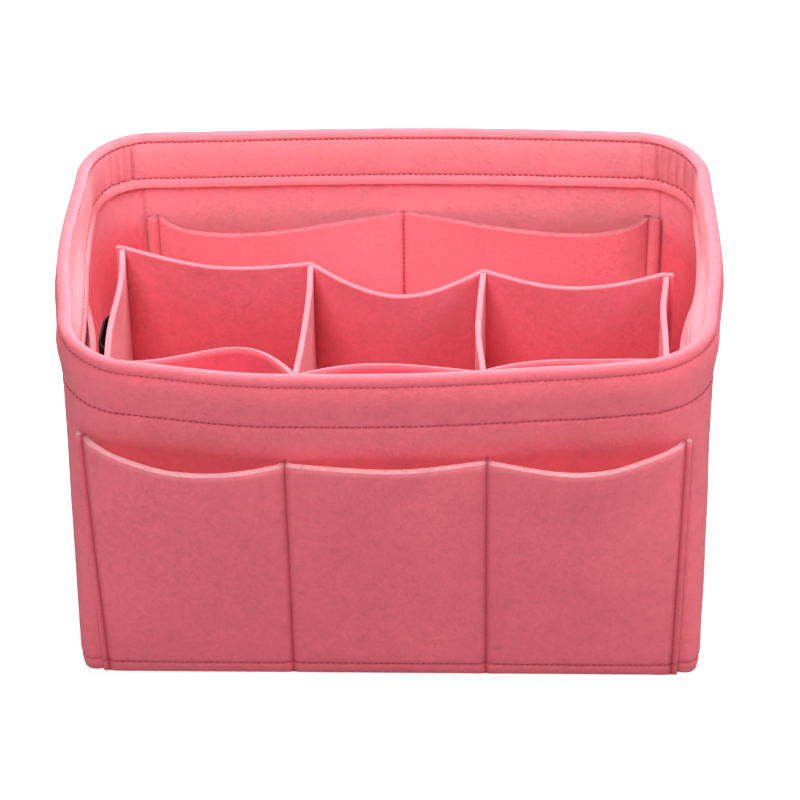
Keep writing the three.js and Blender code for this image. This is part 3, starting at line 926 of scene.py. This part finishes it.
for side, name in ((-1, "front"), (1, "back")):
    place = outer_strip_place(side)
    node_name = "outer_pocket_strip_" + name
    on_face = Vector((0, side * FELT / 2, 0))
    columns = around(OUTER_SEAMS, -STRIP_HALF, STRIP_HALF, reach=2.6, spacing=3)
    rows = around([BASE_STITCH], STRIP_START, STRIP_TOP, reach=2.4, spacing=3.6)
    marks = {"painted_highlight": cut_top(STRIP_TOP, STRIP_TOP_HIGHLIGHT), "pressed_and_shade": outer_pressed_and_shade}
    felt_piece(node_name + "_felt", node_name, columns, rows, place, marks)
    for seam in OUTER_SEAMS:
        sew(lambda z: place(seam, z) + on_face, SEAM_START, STRIP_TOP)
    for seam in (-MIDDLE_SEAM, MIDDLE_SEAM):
        sew(lambda z: Vector((seam, face_y(side, seam, z, -BAR_LIFT), z)), STRIP_TOP, STRIP_TOP + BAR_LENGTH,
            radius=BAR_RADIUS, samples=BAR_SAMPLES)
    sew(lambda x: place(x, BASE_STITCH) + on_face, -BOTTOM_SEAM_HALF, BOTTOM_SEAM_HALF)


# Inner back strip

BACK_TOP = 120
BACK_MIDDLE = 3.5
BACK_HALF = 109
BACK_START, BACK_END = -108, 115
BACK_GAPE = 15
BACK_SKEW = 0.6
BACK_GROWTH = 1.3
PLEAT_WIDTH = 3.2
PLEAT_DEPTH = 2.3
PLEAT_FOLD = (0.2, 1.5)
PLEAT_Z = (0, 30)
PLEAT_STEPS = (-5, -4, -3.2, -2.4, -1.6, -0.8, 0.2, 1.2)
LEAST_STEP = 0.35
BACK_SEAM_DEPTH = 0.5
BACK_SEAM_WIDTH = 1.4
BACK_SEAM_START = 6
# Painted light on the inner back strip
LIT_BACK = 0.6
# Pressed felt with painted shade along lines, as distance from the strip's middle and width: the centre seam
# and the folds of the ends
BACK_PRESSED_AND_SHADE = 0.8
BACK_LINES = [(0, 1.1), (BACK_HALF - 2.2, 0.9), (BACK_HALF + 2.6, 1.0)]


def back_strip_place(x, z):
    """The strip gapes towards the bag's inside and has a pleat at each end."""
    out = abs(x - BACK_MIDDLE)
    from_end = clamp((BACK_HALF - PLEAT_WIDTH - out) / (BACK_HALF - PLEAT_WIDTH))
    rise = clamp(z / BACK_TOP)
    gape = BACK_GAPE * mouth(from_end, BACK_SKEW) * rise ** BACK_GROWTH
    sway = wave("back_strip", x, 0, z) * mouth(from_end) * rise
    pleat = PLEAT_DEPTH * dent(out, BACK_HALF + PLEAT_FOLD[0], PLEAT_FOLD[1]) * ramp(z, *PLEAT_Z)
    seam = BACK_SEAM_DEPTH * dent(x, BACK_MIDDLE, BACK_SEAM_WIDTH)
    return Vector((x, face_y(1, x, z, inner_seat(z) + FELT / 2) - gape - sway - pleat + seam, z))


# Painted highlight on the back strip's cut top edge, fading out at its ends
def back_highlight(x, z):
    return cut_top(BACK_TOP)(x, z) * ramp(abs(x - BACK_MIDDLE), BACK_HALF - 1, BACK_HALF - 4)


# Pressed felt with painted shade at the centre seam and the folds of the pleats
def back_pressed_and_shade(x, z):
    out = abs(x - BACK_MIDDLE)
    return BACK_PRESSED_AND_SHADE * sum(dent(out, line, width) for line, width in BACK_LINES)


pleat_columns = {BACK_MIDDLE + side * (BACK_HALF + step) for side in (-1, 1) for step in PLEAT_STEPS}
even_columns = around([BACK_MIDDLE], BACK_START, BACK_END, reach=2.4, spacing=2.6)
close_columns = sorted(pleat_columns.union(even_columns))
back_columns = close_columns[:1]
back_columns += [x for before, x in zip(close_columns, close_columns[1:]) if x - before > LEAST_STEP]
felt_piece("inner_pocket_strip_back_felt", "inner_pocket_strip_back", back_columns,
           around([BACK_TOP], FLOOR_TOP, BACK_TOP, reach=2.4, spacing=4), back_strip_place,
           {"painted_highlight": back_highlight, "pressed_and_shade": back_pressed_and_shade, "lit": lambda x, z: LIT_BACK})
sew(lambda z: back_strip_place(BACK_MIDDLE, z) + Vector((0, -FELT / 2, 0)), BACK_SEAM_START, BACK_TOP - 1)


# Tray

END_PANEL = 112
TRAY_SEAMS = [-END_PANEL, -36.2, 38.7, END_PANEL]
BAY_GAPES = [16.7, 7.3, 5.2]
BAY_SKEWS = [2, 0.85, 0.7]
BAY_GROWTH = 1.4
FRONT_HALF = 114.4
LEAN = 11
LEAN_GROWTH = 1.3
DIVIDER_X = [-END_PANEL, -33, 38.5, END_PANEL]
DIVIDER_Y = [17.5, 7, 2.8, 0.7]
DIVIDER_START, DIVIDER_END = -114.8, 117
BAY_BOWS = [5.5, 14, 7.5]
BOW_AT_FLOOR = 0.3
DIVIDER_SAG = 0.33
PANEL_NAMES = ["tray_end_panel_left", "tray_cross_panel_left", "tray_cross_panel_right", "tray_end_panel_right"]
PANEL_BOWS = [0.4, 1.3, -1.7, -0.3]
PANEL_SWAYS = [-0.8, 0, 0, 0]
PANEL_HOOKS = [0, 0, 0, 1.7]
PANEL_HOOK_START = 0.6
PANEL_LENGTH = 75
# Painted shade of the rim on the inner front strip, below its cut edge
FRONT_SHADE = 0.7
FRONT_SHADE_Z = (TRAY_TOP - 0.6, TRAY_TOP - 2.1)
# Painted shade low on the divider
DIVIDER_SHADE = 0.7
DIVIDER_SHADE_Z = (142, 107)
# Painted light on the tray's panels
LIT_PANEL = 0.3


def lean(z):
    """Above the outer strips' height the inner front strip leans away from the wall, clear of its hem."""
    return LEAN * (max(0.0, z - STRIP_TOP) / (TRAY_TOP - STRIP_TOP)) ** LEAN_GROWTH


def front_strip_place(x, z):
    """The strip gapes in each bay of the tray, between the panels it is sewn to."""
    index, fraction = pocket_at(x, TRAY_SEAMS)
    rise = clamp(z / TRAY_TOP)
    gape = BAY_GAPES[index] * mouth(fraction, BAY_SKEWS[index]) * rise ** BAY_GROWTH
    sway = wave("front_strip", x, 0, z) * mouth(fraction) * rise
    return Vector((x, face_y(-1, x, z, inner_seat(z) + FELT / 2) + lean(z) + gape + sway, z))


def divider_line(x, z):
    """The y of the divider, which bows forwards in each bay."""
    index, fraction = pocket_at(x, DIVIDER_X)
    bow = BAY_BOWS[index] * mouth(fraction) * mix(BOW_AT_FLOOR, 1, z / TRAY_TOP)
    return mix(DIVIDER_Y[index], DIVIDER_Y[index + 1], fraction) - bow


def divider_place(x, z):
    """The divider's top edge sags a little where it bows."""
    index, fraction = pocket_at(x, DIVIDER_X)
    sag = BAY_BOWS[index] * DIVIDER_SAG * mouth(fraction)
    level = z - sag * z / TRAY_TOP
    return Vector((x, divider_line(x, level) + wave("divider", x, 0, z) * mouth(fraction), level))


def panel_place(index):
    """A panel of the tray, from the inner front strip (along 0) to the divider (along 1)."""
    def place(along, z):
        front = front_strip_place(TRAY_SEAMS[index], z).y + FELT / 2 + GAP
        rear = divider_line(DIVIDER_X[index], z) - FELT / 2 - GAP
        x = mix(TRAY_SEAMS[index], DIVIDER_X[index], along) + PANEL_BOWS[index] * mouth(along)
        x += wave("panel", 0, along * PANEL_LENGTH, z, turn=index) * mouth(along)
        x += PANEL_SWAYS[index] * sin(2 * pi * clamp(along))
        x += PANEL_HOOKS[index] * ramp(along, PANEL_HOOK_START, 1)
        return Vector((x, mix(front, rear, along), z))
    return place


def front_rim_shade(x, z):
    """Painted shade of the rim on the face of the inner front strip, apart from its cut edge."""
    return FRONT_SHADE * ramp(z, *FRONT_SHADE_Z)


def divider_painted_shade(x, z):
    """Painted shade: low in the bays the divider's felt is a deeper red."""
    return DIVIDER_SHADE * ramp(z, *DIVIDER_SHADE_Z)


tray_rows = around([TRAY_TOP], FLOOR_TOP, TRAY_TOP, reach=2.4, spacing=4)
felt_piece("inner_pocket_strip_front_felt", "inner_pocket_strip_front",
           around(TRAY_SEAMS, -FRONT_HALF, FRONT_HALF, reach=3, spacing=2.6), tray_rows, front_strip_place,
           {"painted_highlight": cut_top(TRAY_TOP), "pressed_and_shade": front_rim_shade})
felt_piece("tray_rear_divider_felt", "tray_rear_divider",
           around(DIVIDER_X, DIVIDER_START, DIVIDER_END, reach=3, spacing=2.6), tray_rows, divider_place,
           {"painted_highlight": cut_top(TRAY_TOP), "painted_glow_and_shade": divider_painted_shade})
for index, name in enumerate(PANEL_NAMES):
    felt_piece(name + "_felt", name, spread([0, 1], SHARE_STEP),
               around([TRAY_TOP], FLOOR_TOP, TRAY_TOP, reach=2.4, spacing=5), panel_place(index),
               {"painted_highlight": cut_top(TRAY_TOP), "lit": lambda along, z: LIT_PANEL})


# Side pockets

SIDE_TOP = 134
# A side pocket runs from the side seam (0) over the end of the side (1) into the corner
SIDE_END = 1.5
SIDE_SKEW = 0.8
SIDE_GROWTH = 1.4
# Painted light on the side pockets
LIT_SIDE = 0.1


def side_pocket_place(side, gape):
    def place(along, z):
        station = ("side", side, -1, along) if along < 1 else ("corner", side, -1, along - 1)
        open_by = gape * mouth(along / SIDE_END, SIDE_SKEW) * clamp(z / SIDE_TOP) ** SIDE_GROWTH
        return wall_point(station, inner_seat(z) + FELT / 2 + open_by, z)
    return place


for side, name, gape in ((-1, "side_pocket_left", 6.2), (1, "side_pocket_right", 7.2)):
    felt_piece(name + "_felt", name, spread([0, 1, SIDE_END], SHARE_STEP),
               around([SIDE_TOP], FLOOR_TOP, SIDE_TOP, reach=2.4, spacing=4), side_pocket_place(side, gape),
               {"lit": lambda column, z: LIT_SIDE})


# Elastic loop

LOOP_MIDDLE = -26
LOOP_HALF = 18
LOOP_TAB = 6
LOOP_LOW, LOOP_HIGH = 118, 140
LOOP_REACH = 3.3
ELASTIC_THICKNESS = 1.0
ELASTIC_WORN_WIDTH = 0.25


def loop_place(y, z):
    """Flat on the left end panel at its two tabs, and bowed off it between them."""
    panel = panel_place(0)
    front = panel(0, z)
    rear = panel(1, z)
    face = panel((y - front.y) / (rear.y - front.y), z).x - FELT / 2
    bow = LOOP_REACH * sin(pi / 2 * clamp((LOOP_HALF - abs(y - LOOP_MIDDLE)) / LOOP_TAB - 1))
    return Vector((face - GAP - ELASTIC_THICKNESS / 2 - bow, y, z))


LOOP_STOPS = [LOOP_MIDDLE + step * LOOP_TAB for step in (-3, -2, -1, 1, 2, 3)]
felt_piece("elastic_pen_loop_band", "elastic_pen_loop", spread(LOOP_STOPS, spacing=0.8),
           spread([LOOP_LOW, LOOP_HIGH], spacing=2), loop_place, thickness=ELASTIC_THICKNESS,
           materials=(ELASTIC, ELASTIC), worn_width=ELASTIC_WORN_WIDTH)


# Stitches as one piece

stitch_mesh = bpy.data.meshes.new("seam_stitches")
for face in STITCHES.faces:
    face.smooth = True
STITCHES.to_mesh(stitch_mesh)
STITCHES.free()
stitch_mesh.materials.append(THREAD)
stitches = bpy.data.objects.new("seam_stitches", stitch_mesh)
bpy.context.scene.collection.objects.link(stitches)
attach(stitches, "root")


# Floor and background, white to the camera

FLOOR_HALF = 6
FLOOR_GLOW = 0.55
SKY_STRENGTH = 0.01


def camera_only(tree, others, seen, at):
    """A shader that is one thing to the camera and another to every other ray."""
    ray = node(tree, "ShaderNodeLightPath", (at[0] - 250, at[1] + 300))
    choose = node(tree, "ShaderNodeMixShader", at)
    tree.links.new(ray.outputs["Is Camera Ray"], choose.inputs[0])
    tree.links.new(others.outputs[0], choose.inputs[1])
    tree.links.new(seen.outputs[0], choose.inputs[2])
    return choose.outputs[0]


floor_mesh = bpy.data.meshes.new("floor")
work = bmesh.new()
bmesh.ops.create_grid(work, x_segments=1, y_segments=1, size=FLOOR_HALF)
work.to_mesh(floor_mesh)
work.free()
floor = bpy.data.objects.new("floor", floor_mesh)
bpy.context.scene.collection.objects.link(floor)
floor_material, tree, shader = new_material("pale_floor", FLOOR_SURFACE)
glow = node(tree, "ShaderNodeEmission", (-200, 250), {"Strength": FLOOR_GLOW})
none = node(tree, "ShaderNodeEmission", (-200, 450), {"Strength": 0})
both = node(tree, "ShaderNodeAddShader", (300, 200))
tree.links.new(shader.outputs[0], both.inputs[0])
tree.links.new(camera_only(tree, none, glow, (100, 350)), both.inputs[1])
tree.links.new(both.outputs[0], tree.nodes["Material Output"].inputs["Surface"])
floor_mesh.materials.append(floor_material)

world = bpy.data.worlds.new("studio")
bpy.context.scene.world = world
world.use_nodes = True
tree = world.node_tree
sky = tree.nodes["Background"]
set_inputs(sky, {"Color": (1, 1, 1, 1), "Strength": SKY_STRENGTH})
white = node(tree, "ShaderNodeBackground", (0, 200), {"Strength": 1})
tree.links.new(camera_only(tree, sky, white, (250, 100)), tree.nodes["World Output"].inputs["Surface"])


# Soft lamps: name, place, size and power

LAMP_TARGET = Vector((0, 0, 0.1))
LAMPS = [
    ("back_light", (0, 0.9, 1.1), 0.8, 43),
    ("front_light", (-0.2, -1.0, 1.35), 0.8, 21),
    ("right_light", (0.9, -0.1, 1.0), 0.8, 9.6),
    ("overhead_light", (0, -0.35, 1.15), 0.9, 1.5),
]

for name, at, size, power in LAMPS:
    data = bpy.data.lights.new(name, "AREA")
    data.shape = "DISK"
    data.size = size
    data.energy = power
    lamp = bpy.data.objects.new(name, data)
    bpy.context.scene.collection.objects.link(lamp)
    lamp.location = at
    lamp.rotation_euler = (LAMP_TARGET - Vector(at)).to_track_quat("-Z", "Y").to_euler()
    lamp.visible_camera = False


# Camera, fitted to the bag's corners, seams and rim in the photo

PITCH = radians(40)
YAW = radians(1.82)
TILT = radians(-0.86)
PICTURE = 800
FOCAL_BY_SLOPE = 4100
FOCAL = FOCAL_BY_SLOPE * tan(PITCH)
DISTANCE = 1.4534
SENSOR = 36
# The middle of the bag's front bottom edge, and the pixel that shows it
AIM = Vector((0, -0.080, 0))
AIM_PIXEL = (390, 670.5)

ahead = Vector((-sin(YAW) * cos(PITCH), cos(YAW) * cos(PITCH), -sin(PITCH)))
level_right = Vector((cos(YAW), sin(YAW), 0))
level_up = level_right.cross(ahead)
right = cos(TILT) * level_right + sin(TILT) * level_up
up = cos(TILT) * level_up - sin(TILT) * level_right
off_x, off_y = ((pixel - PICTURE / 2) / FOCAL for pixel in AIM_PIXEL)
eye = AIM - DISTANCE * (ahead + off_x * right - off_y * up)
camera_data = bpy.data.cameras.new("camera")
camera_data.sensor_width = SENSOR
camera_data.lens = FOCAL / PICTURE * SENSOR
camera = bpy.data.objects.new("camera", camera_data)
bpy.context.scene.collection.objects.link(camera)
camera.matrix_world = Matrix((
    (right.x, up.x, -ahead.x, eye.x),
    (right.y, up.y, -ahead.y, eye.y),
    (right.z, up.z, -ahead.z, eye.z),
    (0, 0, 0, 1),
))
bpy.context.scene.camera = camera
bpy.context.scene.view_settings.view_transform = "Standard"
